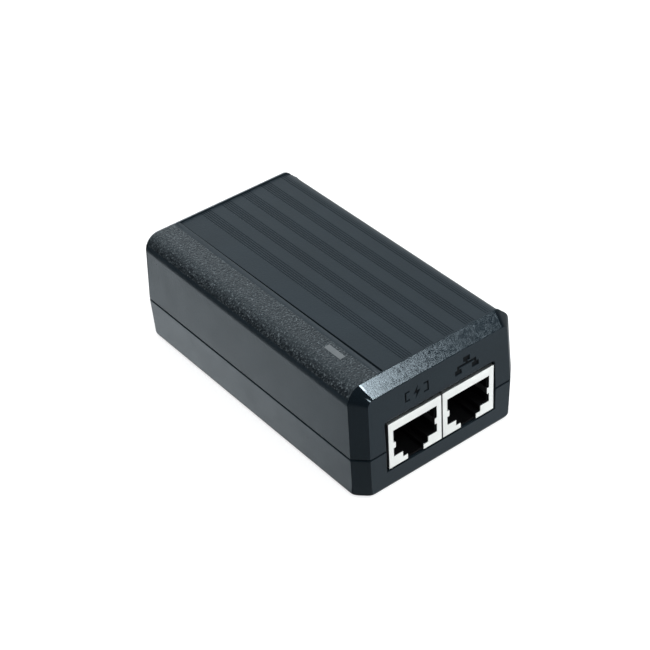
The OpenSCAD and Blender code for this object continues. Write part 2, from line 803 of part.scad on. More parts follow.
// Screw that holds the transistor to the heatsink
module transistor_screw() {
    head_r = 2.5;
    head_t = 1.8;
    color("#9a9da0") on_board(heatsink_x, heatsink_y) translate([0, 0, transistor_hole_h])
        rotate([0, -90, 0]) {
            translate([0, 0, -1]) cylinder(r = transistor_screw_r, h = 3.2);
            difference() {
                translate([0, 0, 2.13]) cylinder(r = head_r, h = head_t);
                translate([-2, -0.35, 3.1]) cube([4, 0.7, 2]);
            }
        }
}

// Power controller chip
module controller_chip() {
    color("#1b1c1e") on_board(-5.6, 5.6) chip(4.6, 9.4, 3.3, 4);
}

transformer_x = 6.2;
transformer_y = -3.4;
core_w = 16.4;
core_t = 5;
core_h = 14.6;
core_leg = 5;
core_yoke = 2.6;
core_lift = 3;

// Ferrite core: an outer frame with a leg down its middle
module transformer_core() {
    window = (core_w - core_leg - 2 * core_yoke) / 2;
    color("#3a3b3d") on_board(transformer_x, transformer_y) translate([0, 0, core_lift]) difference() {
        translate([-core_w / 2, -core_t / 2, 0]) cube([core_w, core_t, core_h]);
        for (side = [-1, 1]) {
            translate([side * (core_leg + window) / 2 - window / 2, -core_t, core_yoke])
                cube([window, 2 * core_t, core_h - 2 * core_yoke]);
        }
    }
}

// Bobbin: a tube on the core's leg between two flanges, on a pin rail at each end
module transformer_bobbin() {
    tube = core_leg + 0.2;
    tube_t = 0.5;
    flange_w = 11;
    flange_l = 15;
    flange_t = 0.8;
    low = core_lift + core_yoke + 0.1;
    high = core_lift + core_h - core_yoke - 0.1;
    rail_w = 15;
    rail_t = 3;
    color("#d8d2bd") on_board(transformer_x, transformer_y) {
        difference() {
            union() {
                translate([-tube / 2 - tube_t, -tube / 2 - tube_t, low])
                    cube([tube + 2 * tube_t, tube + 2 * tube_t, high - low]);
                for (z = [low, high - flange_t]) {
                    translate([-flange_w / 2, -flange_l / 2, z]) cube([flange_w, flange_l, flange_t]);
                }
            }
            translate([-tube / 2, -tube / 2, 0]) cube([tube, tube, 2 * core_h]);
        }
        for (side = [-1, 1]) {
            translate([-rail_w / 2, side * (flange_l / 2 + rail_t / 2 - 0.5) - rail_t / 2, 0.6])
                cube([rail_w, rail_t, low + flange_t - 0.6]);
            for (i = [-2 : 2]) lead(i * 3, side * (flange_l / 2 + rail_t / 2 - 0.5), 0.6 + eps);
        }
    }
}

// Taped winding block between the bobbin's flanges
module transformer_winding() {
    winding_w = 10.6;
    winding_l = 13.2;
    inner = core_leg + 1.3;
    low = core_lift + core_yoke + 1;
    high = core_lift + core_h - core_yoke - 1;
    color("#e0c23a") on_board(transformer_x, transformer_y) translate([0, 0, low]) difference() {
        translate([-winding_w / 2, -winding_l / 2, 0]) cube([winding_w, winding_l, high - low]);
        translate([-inner / 2, -inner / 2, -1]) cube([inner, inner, core_h]);
    }
}

// Feedback optocoupler
module optocoupler() {
    color("#26282a") on_board(-6.6, -3.4) chip(5.2, 4.6, 3.3, 2);
}

// Safety capacitor disc between the two sides of the supply
module y_capacitor() {
    color("#3f79b5") on_board(-15.5, -0.6) {
        translate([0, 0, 5.6]) rotate([90, 0, 0]) cylinder(r = 4, h = 3.4, center = true);
        for (x = [-2.5, 2.5]) lead(x, 0, 3);
    }
}

// Output rectifier diode lying on the board on its two bent leads
module output_diode() {
    body_r = 2.6;
    body_l = 7.4;
    lead_l = 1.4;
    color("#232527") on_board(-6.8, -11) translate([0, 0, body_r + 0.4]) {
        rotate([0, 90, 0]) cylinder(r = body_r, h = body_l, center = true);
        for (side = [-1, 1]) translate([side * (body_l / 2 + lead_l / 2 - eps), 0, 0]) {
            rotate([0, 90, 0]) cylinder(r = 0.5, h = lead_l, center = true);
            translate([side * (lead_l / 2 - 0.5), 0, -body_r - 0.4]) cylinder(r = 0.5, h = body_r + 0.4);
        }
    }
}

// Output filter inductor on a drum core
module output_inductor() {
    color("#4a3428") on_board(-16.4, -9.6) {
        difference() {
            cylinder(r = 4.2, h = 9);
            translate([0, 0, 4.5]) difference() {
                cylinder(r = 5, h = 6, center = true);
                cylinder(r = 3.7, h = 7, center = true);
            }
        }
    }
}

// Pair of output capacitors behind the sockets
module output_capacitors() {
    color("#26323f") for (x = [2.8, 12.2]) on_board(x, -18) can_capacitor(4, 14);
}

// Data transformer block for the network pairs
module data_transformer() {
    color("#222426") on_board(-9, -18.2) rotate([0, 0, 90]) chip(6, 12.6, 5.2, 4);
}

// Indicator light under the light pipe
module status_led() {
    color("#e9edf0") on_board(pipe_x - 0.1, pipe_y) translate([-0.75, -1.6, 0]) cube([1.3, 3.2, 1.5]);
}

top_shell();
bottom_shell();
light_pipe();
case_screws();
rating_label();
main_board();
poe_socket_shield();
poe_socket_insert();
poe_contact_springs();
poe_contact_tails();
lan_socket_shield();
lan_socket_insert();
lan_contact_springs();
lan_contact_tails();
inlet_housing();
line_pin();
neutral_pin();
earth_pin();
fuse();
varistor();
x_capacitor();
choke_core();
choke_windings();
bridge_rectifier();
bulk_capacitor();
heatsink();
switching_transistor();
transistor_screw();
controller_chip();
transformer_core();
transformer_bobbin();
transformer_winding();
optocoupler();
y_capacitor();
output_diode();
output_inductor();
output_capacitors();
data_transformer();
status_led();
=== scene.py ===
import json
import math
from collections import namedtuple

import bpy
import bmesh
from mathutils import Matrix, Vector
from mathutils.geometry import tessellate_polygon


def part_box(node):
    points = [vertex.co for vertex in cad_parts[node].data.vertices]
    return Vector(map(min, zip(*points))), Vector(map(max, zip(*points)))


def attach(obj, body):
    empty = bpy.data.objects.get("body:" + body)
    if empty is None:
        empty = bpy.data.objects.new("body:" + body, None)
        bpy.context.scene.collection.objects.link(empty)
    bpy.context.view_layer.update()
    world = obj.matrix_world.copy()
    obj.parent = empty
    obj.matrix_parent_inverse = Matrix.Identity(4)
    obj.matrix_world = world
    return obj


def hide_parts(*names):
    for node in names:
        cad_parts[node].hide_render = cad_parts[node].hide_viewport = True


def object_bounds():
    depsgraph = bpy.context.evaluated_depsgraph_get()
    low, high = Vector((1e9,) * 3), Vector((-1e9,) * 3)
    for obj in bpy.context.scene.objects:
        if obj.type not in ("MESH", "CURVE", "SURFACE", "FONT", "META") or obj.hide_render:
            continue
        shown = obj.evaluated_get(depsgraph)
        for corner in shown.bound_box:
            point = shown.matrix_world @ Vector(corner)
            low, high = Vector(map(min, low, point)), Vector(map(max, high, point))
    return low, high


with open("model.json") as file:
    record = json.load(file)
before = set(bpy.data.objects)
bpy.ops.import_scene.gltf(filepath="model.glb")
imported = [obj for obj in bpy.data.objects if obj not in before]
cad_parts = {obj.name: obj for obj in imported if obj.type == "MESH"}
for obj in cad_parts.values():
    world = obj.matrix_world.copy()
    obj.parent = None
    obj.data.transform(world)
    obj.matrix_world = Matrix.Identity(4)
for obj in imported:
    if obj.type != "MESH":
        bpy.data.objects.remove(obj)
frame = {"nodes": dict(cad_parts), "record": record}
cad_low, cad_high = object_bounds()

MM = 0.001


def mm_box(node):
    low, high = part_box(node)
    return low / MM, high / MM


# ---------------------------------------------------------------- sizes, in millimetres
# Half sizes are taken at the seam, where the leaning walls are a trace wider than the box
side_allowance = 0.004
end_allowance = 0.002
case_low, case_high = cad_low / MM, cad_high / MM
case_length = case_high.y - case_low.y
half_w = (case_high.x - case_low.x) / 2 + side_allowance
half_l = case_length / 2 + end_allowance
case_h = case_high.z

# Seam between the shells
upper_low_z = 12.25
seam_z = (mm_box("bottom_shell")[1].z + upper_low_z) / 2
seam_gap = 0.3
upper_z = seam_z + seam_gap / 2
lower_z = seam_z - seam_gap / 2

# Walls, which lean in above and below the seam
wall = 2.2
floor_t = 2.0
side_lean = math.tan(math.radians(2.1))
front_lean = math.tan(math.radians(2.7))
rear_lean = math.tan(math.radians(2.1))
low_lean = math.tan(math.radians(1.5))

# Bevels, roundings and creases; bevel_loss is how much a bevel's leg shrinks per unit of inset
corner_leg = 3.25
brow_leg_y = 3.48
brow_leg_z = 2.63
bevel_loss = 0.586
crown_r = 4.4
least_crown_r = 0.4
front_r = 1.8
rear_top_r = 1.2
rear_side_r = 1.8
rear_crown_loss = 1.5
inner_r = 0.3
crease_r = 0.2
front_ease = 0.42
rear_ease = 0.8
base_r = 1.4
base_inner_r = 0.5
foot_soft = 3.0
foot_height = 3.4

# Rounded edges: (distance from the edge, how far the surface has dropped there)
edge_r = 0.25
edge_mid = 0.07
seam_edge = ((edge_r, 0.0), (0.16, 0.02), (edge_mid, 0.08), (0.0, edge_r))

# Sunk grip panel with its grooves
panel_depth = 0.4
panel_crown_r = 4.8
panel_low_z = 15.0
panel_step = 0.08
panel_riser = 0.05
panel_front_rim = 0.42
panel_rear_rim = 1.3
groove_w = 0.26
groove_d = 0.11
groove_soft = 0.03
groove_pitch = 0.65
grooves_in_group = 5
groove_groups = 5
first_group_x = -5.8
group_pitch = 6.42

# Columns left of the panel: flat ones by x, those of the lip and the slot by (x, how far they are sunk)
flat_columns = (-19.4, -18.4)
strip_columns = (-15.8, -15.3)
lip_columns = ((-15.1, 0.0), (-14.85, 0.03), (-14.6, 0.08), (-14.3, 0.16), (-14.0, 0.25), (-13.76, 0.33),
               (-13.68, 0.42))
lip_fade = 0.75
slot_depth = 0.85
slot_columns = ((-13.62, slot_depth), (-13.42, slot_depth), (-13.36, panel_depth))
slot_middle = -13.5
slot_spread = 0.34

# Openings for the sockets, the inlet and the light window
shield_low, shield_high = mm_box("poe_socket_shield")
right_shield_low, right_shield_high = mm_box("lan_socket_shield")
window_half_w = right_shield_high.x + 0.6
window_low = shield_low.z - 0.7
window_top = shield_high.z + 0.6
inlet_low, inlet_high = mm_box("inlet_housing")
inlet_gap = 0.1
inlet_half_w = inlet_high.x + inlet_gap
inlet_cut = inlet_low.z - inlet_gap
opening_r = 0.5
pipe_low, pipe_high = mm_box("light_pipe")
pipe_rim = 1.0
pipe_left = pipe_low.x + pipe_rim

# Pictograms above the sockets
mark_z = 24.3
mark_depth = 0.25
mark_reach = 2.5
power_mark_shift = 1.2

# Screws, their posts, and the bed of the label
screw_head_r = 2.4
screw_hole_r = 2.8
post_z = 9.0
axis_r = 0.01
label_gap = 0.4
label_r = 1.2
label_sink = 0.3
label_edge = 0.6


def side_x(z):
    return half_w - (side_lean * (z - seam_z) if z > seam_z else low_lean * (seam_z - z))


def front_y(z):
    return -half_l + (front_lean * (z - seam_z) if z > seam_z else low_lean * (seam_z - z))


def rear_y(z):
    return half_l - (rear_lean * (z - seam_z) if z > seam_z else low_lean * (seam_z - z))


# ---------------------------------------------------------------- mesh helpers
def mix(a, b, share):
    return a + (b - a) * share


def make_object(name, verts, faces, slot, node):
    """A piece on the case, from vertices in millimetres, which stands for a CAD node."""
    mesh = bpy.data.meshes.new(name)
    mesh.from_pydata([Vector(v) * MM for v in verts], [], faces)
    bm = bmesh.new()
    bm.from_mesh(mesh)
    bmesh.ops.remove_doubles(bm, verts=bm.verts, dist=1e-7)
    bm.to_mesh(mesh)
    bm.free()
    obj = bpy.data.objects.new(name, mesh)
    bpy.context.scene.collection.objects.link(obj)
    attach(obj, "case")
    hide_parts(node)
    return obj


class Sheet:
    """Faces with an outer and an inner position for every point; close() turns it into a solid wall."""

    def __init__(self):
        self.outer = []
        self.inner = []
        self.faces = []

    def point(self, outer, inner):
        self.outer.append(Vector(outer))
        self.inner.append(Vector(inner))
        return len(self.outer) - 1

    def strip(self, a, b):
        """Joins two closed rings of points."""
        for i in range(len(a)):
            k = (i + 1) % len(a)
            self.faces.append((b[i], b[k], a[k], a[i]))

    def cap(self, loops, flatten, outward):
        """Fills the first loop, leaves the others as holes, and turns the faces to look outward."""
        flat = [[flatten(self.outer[v]) for v in loop] for loop in loops]
        index = [v for loop in loops for v in loop]
        for triangle in tessellate_polygon(flat):
            face = tuple(index[t] for t in triangle)
            a, b, c = (self.outer[v] for v in face)
            looks_out = (b - a).cross(c - a).dot(outward) > 0
            self.faces.append(face if looks_out else tuple(reversed(face)))

    def close(self):
        """Vertices and faces of the whole wall, without the points that no face uses."""
        edges = dict.fromkeys(edge for f in self.faces for edge in zip(f, f[1:] + f[:1]))
        n = len(self.outer)
        faces = [tuple(f) for f in self.faces]
        faces += [tuple(i + n for i in reversed(f)) for f in self.faces]
        faces += [(b, a, a + n, b + n) for a, b in edges if (b, a) not in edges]
        verts = self.outer + self.inner
        used = sorted({i for f in faces for i in f})
        index = {old: new for new, old in enumerate(used)}
        return [verts[i] for i in used], [tuple(index[i] for i in f) for f in faces]


def from_front(v):
    return Vector((v.x, v.z, 0))


def from_above(v):
    return Vector((v.x, v.y, 0))


def rounded_polyline(points, radius, steps):
    """The same open polyline with its inner corners rounded."""
    out = [Vector(points[0])]
    for i in range(1, len(points) - 1):
        p, q, r = (Vector(v) for v in points[i - 1:i + 2])
        a, b = (p - q).normalized(), (r - q).normalized()
        half = a.angle(b) / 2
        reach = min(radius / math.tan(half), (p - q).length * 0.49, (r - q).length * 0.49)
        real_r = reach * math.tan(half)
        centre = q + (a + b).normalized() * (real_r / math.sin(half))
        start, end = q + a * reach, q + b * reach
        for k in range(steps + 1):
            turned = (start - centre).normalized().slerp((end - centre).normalized(), k / steps)
            out.append(centre + turned * real_r)
    out.append(Vector(points[-1]))
    return out


def rounded_rectangle(hx, hy, r, steps=5):
    out = []
    for quarter, (sx, sy) in enumerate(((1, 1), (-1, 1), (-1, -1), (1, -1))):
        for k in range(steps + 1):
            t = math.radians(90 * quarter + 90 * k / steps)
            out.append((sx * (hx - r) + r * math.cos(t), sy * (hy - r) + r * math.sin(t)))
    return out


def lathe(centre, profile, steps=32):
    """Vertices and faces of a closed ring section (r, z) turned about a vertical axis."""
    verts, faces = [], []
    m = len(profile)
    for k in range(steps):
        t = 2 * math.pi * k / steps
        for r, z in profile:
            verts.append(Vector((centre[0] + r * math.cos(t), centre[1] + r * math.sin(t), z)))
    for k in range(steps):
        k2 = (k + 1) % steps
        for i in range(m):
            i2 = (i + 1) % m
            faces.append((k * m + i, k2 * m + i, k2 * m + i2, k * m + i2))
    return verts, faces


def join_parts(parts):
    """One list of vertices and one of faces, from those of several parts."""
    verts, faces = [], []
    for part_verts, part_faces in parts:
        start = len(verts)
        verts += list(part_verts)
        faces += [tuple(i + start for i in face) for face in part_faces]
    return verts, faces


# ---------------------------------------------------------------- moulded edge sections
# A section is a list of (depth share, inset share, depth normal, inset normal) from the end wall
# to the long sides; shares are of each edge's own legs.
def bevel_line(leg, crease, reach):
    """Points of a 45 degree bevel with rounded creases, each with how far the surface has turned."""
    line = rounded_polyline([(0, leg + reach), (0, leg), (leg, 0), (leg + reach, 0)], crease, 3)[1:-1]
    half = len(line) // 2
    out = []
    for k, p in enumerate(line):
        share = k / (half - 1) if k < half else 1 + (k - half) / (half - 1)
        out.append((p, math.radians(45) * share))
    return out


def bevel_section():
    return [(p.x / corner_leg, p.y / corner_leg, math.cos(angle), math.sin(angle))
            for p, angle in bevel_line(corner_leg, crease_r, 1)]


def round_section(steps=5):
    out = []
    for k in range(steps + 1):
        a = math.radians(90 * k / steps)
        out.append((1 - math.sin(a), 1 - math.cos(a), math.sin(a), math.cos(a)))
    return out


def edge_drop(distance):
    """How far a surface has rounded off at this distance from an edge."""
    if distance >= edge_r:
        return 0.0
    return edge_r - math.sqrt(max(0.0, edge_r ** 2 - (edge_r - max(distance, 0.0)) ** 2))


# ---------------------------------------------------------------- upper shell
# kind and value: side (z), slope (share of the way up to the crown), arc (share of the crown), top (x)
# side: -1 left, 1 right and the panel, 0 the strip, the lip and the slot left of the panel
# cut: depth of the seam's rounding or of a groove; dip: how far the lip, slot or panel is sunk
ProfilePoint = namedtuple("ProfilePoint", "kind side value cut dip")


class UpperProfile:
    """Points across the upper shell, from the left seam over the top to the right seam."""

    side_steps = 5
    arc_steps = 14
    right_arc_steps = 7
    fixed_half = 10

    def __init__(self):
        self.points = []
        self.add_left()
        self.add_panel()
        self.add_right()

    def add(self, *values):
        self.points.append(ProfilePoint(*values))

    def add_left(self):
        for rise, drop in reversed(seam_edge):
            self.add("side", -1, upper_z + rise, drop, 0.0)
        for k in range(1, self.side_steps):
            self.add("slope", -1, k / self.side_steps, 0.0, 0.0)
        for k in range(self.arc_steps + 1):
            self.add("arc", -1, k / self.arc_steps, 0.0, 0.0)
        for x in flat_columns + (pipe_left, pipe_high.x - pipe_rim) + strip_columns:
            self.add("top", 0, x, 0.0, 0.0)
        for x, dip in lip_columns + slot_columns:
            self.add("top", 0, x, 0.0, dip)

    def add_panel(self):
        for x, cut in self.groove_columns():
            if x < self.panel_cx():
                self.add("top", 1, x, cut, panel_depth)
            else:
                phi = math.acos((x - self.panel_cx()) / panel_crown_r)
                share = (phi - self.lean()) / (math.pi / 2 - self.lean())
                self.add("arc", 1, 1 - share, cut, panel_depth)

    def add_right(self):
        last = self.points[-1].value
        for k in range(1, self.right_arc_steps + 1):
            self.add("arc", 1, mix(last, 1, k / self.right_arc_steps), 0.0, panel_depth)
        for share in (0.75, 0.5, 0.25):
            self.add("slope", 1, share, 0.0, panel_depth)
        self.add("side", 1, panel_low_z + panel_step, 0.0, panel_depth)
        self.add("side", 1, panel_low_z, 0.0, 0.0)
        self.add("side", 1, panel_low_z - 1, 0.0, 0.0)
        for rise, drop in seam_edge:
            self.add("side", 1, upper_z + rise, drop, 0.0)

    @staticmethod
    def groove_columns():
        """(x, depth) across the panel: flats, and six points for each groove."""
        half, shoulder = groove_w / 2, groove_d * 0.55
        out = [(-11.0, 0.0), (-8.5, 0.0)]
        for group in range(groove_groups):
            for i in range(grooves_in_group):
                x = first_group_x + group_pitch * group + (i - grooves_in_group // 2) * groove_pitch
                out += [(x - half - groove_soft, 0.0), (x - half + groove_soft, shoulder),
                        (x - half / 2, groove_d), (x + half / 2, groove_d),
                        (x + half - groove_soft, shoulder), (x + half + groove_soft, 0.0)]
            if group < groove_groups - 1:
                out += [(x + 2 * groove_pitch, 0.0), (x + 4 * groove_pitch, 0.0)]
        return out

    @staticmethod
    def lean():
        return math.atan(side_lean)

    @classmethod
    def centre(cls, r, side_inset, top_inset):
        """Middle of a crown of radius r that touches the side and the top, each set in by so much."""
        cz = case_h - top_inset - r
        return side_x(cz) - side_inset - r / math.cos(cls.lean()), cz

    @classmethod
    def panel_cx(cls):
        return cls.centre(panel_crown_r, panel_depth, panel_depth)[0]

    @staticmethod
    def top_share(point):
        """How far round a point lies, from 0 at the side to 1 on the top."""
        if point.kind == "arc":
            return point.value if point.side < 0 else 1 - point.value
        return 1.0 if point.kind == "top" else 0.0

    @staticmethod
    def right_ease(share, crown, rear):
        """How far the right crown is eased in beyond the panel's ends, less as its radius shrinks."""
        fade = max(0.0, (crown - front_r) / (crown_r - front_r))
        swell = math.sin(math.pi * share)
        return fade * (rear_ease * swell ** 2 if rear else front_ease * swell ** 4)

    def place(self, point, inset, panel, inner, rear):
        """(x, z) of a point; inset is how far the sides and the top are set in, and the crown's radius."""
        side_inset, top_inset, crown = inset
        inside = wall if inner else 0.0
        side_inset += inside
        top_inset += inside
        in_panel = panel and not inner and point.dip == panel_depth and point.side == 1
        if in_panel:
            side_inset += panel_depth
            top_inset += panel_depth
        r = max((panel_crown_r if in_panel else crown) - inside, least_crown_r)
        lean = self.lean()
        cx, cz = self.centre(r, side_inset, top_inset)
        if point.kind == "side":
            return point.side * (side_x(point.value) - side_inset), point.value
        if point.kind == "slope":
            low = upper_z + edge_r if point.side < 0 else panel_low_z + panel_step
            z = mix(low, cz + r * math.sin(lean), point.value)
            return point.side * (side_x(z) - side_inset), z
        if point.kind == "arc":
            share = self.top_share(point)
            phi = mix(lean, math.pi / 2, share)
            depth = point.cut if panel and not inner else 0.0
            if point.side == 1 and not inner and not in_panel:
                depth += self.right_ease(share, crown, rear)
            return point.side * (cx + (r - depth) * math.cos(phi)), cz + (r - depth) * math.sin(phi)
        # Columns beyond fixed_half move with the crown, so that the crown never overruns them
        x, fixed = point.value, self.fixed_half
        if abs(x) > fixed:
            base_cx = self.panel_cx() if point.side == 1 else self.centre(crown_r, 0, 0)[0]
            x = math.copysign(fixed + (abs(x) - fixed) * (cx - fixed) / (base_cx - fixed), x)
        z = case_h - top_inset
        if panel and not inner:
            z -= point.cut if point.side == 1 else point.dip
        return x, z


def upper_shell():
    """Upper shell as a grid of rows from the front wall to the rear, each across the whole profile."""
    profile = UpperProfile()
    sheet = Sheet()
    rows = []

    def add_row(position):
        rows.append([sheet.point(position(p, False), position(p, True)) for p in profile.points])

    def end_row(section, legs, radii, front):
        depth_share, inset_share, depth_normal, inset_normal = section

        def inner_leg(leg):
            return leg - bevel_loss * wall if front else inner_r

        def position(point, inner):
            (side_depth, top_depth), (side_in, top_in) = legs
            depth = 0.0
            if inner:
                side_depth, top_depth = inner_leg(side_depth), inner_leg(top_depth)
                side_in, top_in = inner_leg(side_in), inner_leg(top_in)
                depth = wall
            depth += depth_share * mix(side_depth, top_depth, profile.top_share(point))
            drop = point.cut if point.kind == "side" and not inner else 0.0
            depth += drop * depth_normal
            inset = (inset_share * side_in + drop * inset_normal, inset_share * top_in,
                     mix(*radii, inset_share))
            x, z = profile.place(point, inset, False, inner, not front)
            return x, front_y(z) + depth if front else rear_y(z) - depth, z

        add_row(position)

    def main_row(y, panel):
        near_front = 0.5 - y / case_length

        def position(point, inner):
            drop = point.cut if point.kind == "side" and not inner else 0.0
            x, z = profile.place(point, (drop, 0.0, crown_r), panel, inner, y > 0)
            if point.side == 0 and point.dip >= panel_depth and point.value > slot_middle:
                x += slot_spread * near_front
            elif point.side == 0 and panel and not inner:
                z += point.dip * (1 - near_front) * lip_fade
            return x, y, z

        add_row(position)

    front_legs = ((corner_leg, brow_leg_y), (corner_leg, brow_leg_z))
    for section in bevel_section():
        end_row(section, front_legs, (crown_r, front_r), True)
    panel_front = front_y(case_h) + brow_leg_y + panel_front_rim
    panel_rear = rear_y(case_h) - panel_rear_rim
    main_row(panel_front, False)
    main_row(panel_front + panel_riser, True)
    main_row(-36.0, True)
    pipe_row = len(rows)
    for y in (pipe_low.y + pipe_rim, pipe_high.y - pipe_rim, -16.0, -8.0, 0.0, 8.0, 16.0, 24.0, 32.0, 38.0):
        main_row(y, True)
    main_row(panel_rear - panel_riser, True)
    main_row(panel_rear, False)
    rear_legs = ((rear_side_r, rear_top_r), (rear_side_r, rear_top_r))
    for section in round_section():
        end_row(section, rear_legs, (crown_r, crown_r - rear_crown_loss), False)

    values = [p.value if p.kind == "top" else None for p in profile.points]
    pipe_column = values.index(pipe_left)
    for j in range(len(rows) - 1):
        for i in range(len(profile.points) - 1):
            if (j, i) != (pipe_row, pipe_column):
                sheet.faces.append((rows[j][i], rows[j][i + 1], rows[j + 1][i + 1], rows[j + 1][i]))
    marks = ((power_mark(), (shield_low.x + shield_high.x) / 2 + power_mark_shift),
             (network_mark(), (right_shield_low.x + right_shield_high.x) / 2))
    end_cap(sheet, rows[0], True, window_half_w, window_top, marks)
    end_cap(sheet, rows[-1], False, inlet_half_w, inlet_high.z + inlet_gap)
    return sheet


def end_cap(sheet, row, front, half_opening, opening_top, marks=()):
    """Flat leaning end wall of the upper shell around its opening, with any marks sunk into it."""
    first = len(seam_edge) - 1
    outward = Vector((0, -1 if front else 1, 0))

    def wall_point(x, z, depth):
        y = front_y(z) + depth if front else rear_y(z) - depth
        inner_y = front_y(z) + wall if front else rear_y(z) - wall
        return sheet.point((x, y, z), (x, inner_y, z))

    paths = []
    for rise, drop in reversed(seam_edge):
        x, z, r = half_opening + rise, opening_top + rise, opening_r + rise
        right = [(x, upper_z + rise), (x, z - r)]
        for k in range(1, 5):
            a = math.radians(90 * k / 4)
            right.append((x - r + r * math.cos(a), z - r + r * math.sin(a)))
        left = [(-px, pz) for px, pz in reversed(right)]
        paths.append([wall_point(px, pz, drop) for px, pz in right + left])
    for k in range(first):
        a = [row[-1 - k]] + paths[k] + [row[k]]
        b = [row[-2 - k]] + paths[k + 1] + [row[k + 1]]
        for i in range(len(a) - 1):
            face = (a[i], b[i], b[i + 1], a[i + 1])
            sheet.faces.append(face if front else tuple(reversed(face)))
    loops = [row[first:len(row) - first] + paths[first]]
    floors = []
    for rings, middle in marks:
        for ring in rings:
            top = [wall_point(middle + x, mark_z + z, 0.0) for x, z in ring]
            floor = [wall_point(middle + x, mark_z + z, mark_depth) for x, z in ring]
            loops.append(top)
            floors.append(floor)
            area = sum(a[0] * b[1] - b[0] * a[1] for a, b in zip(ring, ring[1:] + ring[:1]))
            sheet.strip(*((floor, top) if area > 0 else (top, floor)))
    sheet.cap(loops, from_front, outward)
    for floor in floors:
        sheet.cap([floor], from_front, outward)


def power_mark():
    """A bolt between two brackets."""
    bolt = [(0.5, 1.9), (-1.1, -0.35), (-0.1, -0.35), (-0.5, -1.9), (1.1, 0.35), (0.1, 0.35)]
    bracket = [(2.1, 1.4), (3.6, 1.4), (3.6, -1.4), (2.1, -1.4), (2.1, -0.95), (3.15, -0.95),
               (3.15, 0.95), (2.1, 0.95)]
    return [bolt] + [[(side * x, z) for x, z in bracket] for side in (-1, 1)]


def network_mark():
    """A small tree of three boxes."""
    half = [(1.05, 2.15), (1.05, 0.75), (0.36, 0.75), (0.36, 0.42), (3.0, 0.42), (3.0, -0.65), (3.7, -0.65),
            (3.7, -2.05), (1.6, -2.05), (1.6, -0.65), (2.3, -0.65), (2.3, -0.3)]
    return [half + [(-x, z) for x, z in reversed(half)]]


# ---------------------------------------------------------------- lower shell
def lower_outline(z, inset):
    """Points around the lower shell, anticlockwise from the front left, with their inward directions."""
    a = side_x(z) - inset
    f, b = front_y(z) + inset, rear_y(z) - inset
    r = max(rear_side_r - inset, inner_r)
    crease = crease_r + foot_soft * max(0.0, 1 - z / foot_height) ** 2
    corner = bevel_line(corner_leg - bevel_loss * inset, crease, 3)
    right = [(a - p.y, f + p.x, -math.sin(angle), math.cos(angle)) for p, angle in corner]
    window_xs = (8.0, window_half_w, window_half_w + edge_mid, window_half_w + edge_r)
    inlet_xs = (inlet_half_w, inlet_half_w + edge_mid, inlet_half_w + edge_r)
    side_ys = (-36.0, -24.0, -12.0, 0.0, 12.0, 24.0, 34.0)
    turns = [math.radians(90 * k / 6) for k in range(7)]
    quarter = math.pi / 2
    out = [(-x, f, 0, 1) for x in reversed(window_xs)]
    out += [(x, f, 0, 1) for x in (0.0,) + window_xs]
    out += right
    out += [(a, y, -1, 0) for y in side_ys]
    out += [(a - r + r * math.cos(t), b - r + r * math.sin(t), -math.cos(t), -math.sin(t)) for t in turns]
    out += [(x, b, 0, -1) for x in reversed(inlet_xs)]
    out += [(-x, b, 0, -1) for x in (0.0,) + inlet_xs]
    for t in turns:
        cos, sin = math.cos(quarter + t), math.sin(quarter + t)
        out.append((-a + r + r * cos, b - r + r * sin, -cos, -sin))
    out += [(-a, y, 1, 0) for y in reversed(side_ys)]
    out += [(-x, y, -nx, ny) for x, y, nx, ny in reversed(right)]
    return out


def outline_faces(sheet, rows, is_open):
    """Faces between rings of an outline, left out where is_open says so of a face's upper edge and ring."""
    for j in range(len(rows) - 1):
        upper, lower = rows[j], rows[j + 1]
        for i in range(len(upper)):
            k = (i + 1) % len(upper)
            middle = (sheet.outer[upper[i]] + sheet.outer[upper[k]]) / 2
            if not is_open(middle, j):
                sheet.faces.append((upper[k], upper[i], lower[i], lower[k]))


def lower_levels():
    """(z, inset, inner z, inner inset) of each ring of the lower shell, from the seam to the base."""
    levels = [(lower_z - rise, drop, lower_z - rise, wall) for rise, drop in reversed(seam_edge)]
    for z in (10.5, 9.0, 7.5, 4.2):
        levels.append((z, 0.0, z, wall))
    for cut in (inlet_cut, window_low):
        for z in (cut, cut - edge_mid, cut - edge_r):
            levels.append((z, 0.0, z, wall))
    levels = sorted(set(levels), reverse=True)
    for k in range(7):
        t = math.radians(90 * k / 6)
        rise, drop = 1 - math.sin(t), 1 - math.cos(t)
        inner_rise, inner_drop = base_inner_r * rise, base_inner_r * drop
        levels.append((base_r * rise, base_r * drop, floor_t + inner_rise, wall + inner_drop))
    return levels


def lower_shell():
    """Lower shell as rings from the seam down, closed by the base."""
    sheet = Sheet()
    levels = lower_levels()
    rows = []
    for z, inset, inner_z, inner_inset in levels:
        ring = []
        outline, inner_outline = lower_outline(z, inset), lower_outline(inner_z, inner_inset)
        for (x, y, nx, ny), (ix, iy, _, _) in zip(outline, inner_outline):
            if y < 0:
                edge = max(abs(x) - window_half_w, window_low - z)
            else:
                edge = max(abs(x) - inlet_half_w, inlet_cut - z)
            on_end_wall = abs(ny) > 0.99
            drop = edge_drop(edge) if on_end_wall and edge >= -1e-6 else 0.0
            ring.append(sheet.point((x + nx * drop, y + ny * drop, z), (ix, iy, inner_z)))
        rows.append(ring)

    def is_open(middle, j):
        mid_z = (levels[j][0] + levels[j + 1][0]) / 2
        in_window = middle.y < -half_l + 2 and abs(middle.x) < window_half_w and mid_z > window_low
        in_inlet = middle.y > half_l - 2 and abs(middle.x) < inlet_half_w and mid_z > inlet_cut
        return in_window or in_inlet

    outline_faces(sheet, rows, is_open)
    base_cap(sheet, rows[-1])
    return sheet


